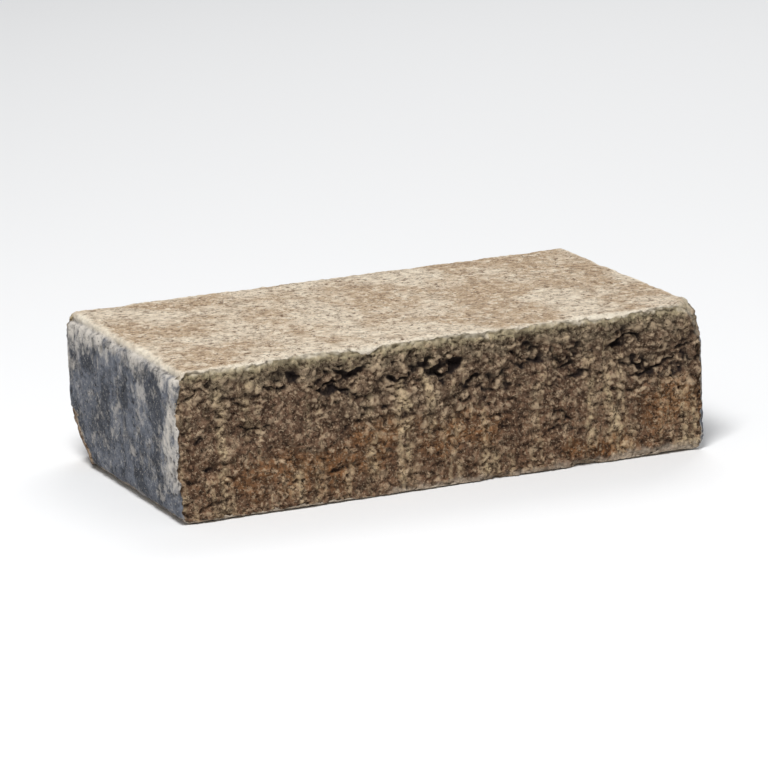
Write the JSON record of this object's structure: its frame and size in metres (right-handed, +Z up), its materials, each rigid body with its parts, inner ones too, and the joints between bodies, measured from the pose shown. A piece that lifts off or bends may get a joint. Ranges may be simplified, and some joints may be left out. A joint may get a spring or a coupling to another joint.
{
  "type": "concrete wall block",
  "caption": "Solid concrete wall block with rough split long faces, flat beds, smooth moulded ends and edges tumbled round, laid in staggered courses for garden walls.",
  "frame": {"origin": "middle of the bottom bed, on the surface that the block lies on", "axes": "+X along the wall, +Y from the front split face to the back one, +Z up"},
  "size_m": [0.37, 0.21, 0.1],
  "materials": {
    "concrete": "matt blended brown and grey concrete: rough on the split faces, fine-grained on beds and ends"
  },
  "bodies": {
    "root": {"wall_block": "concrete"}
  },
  "joints": []
}
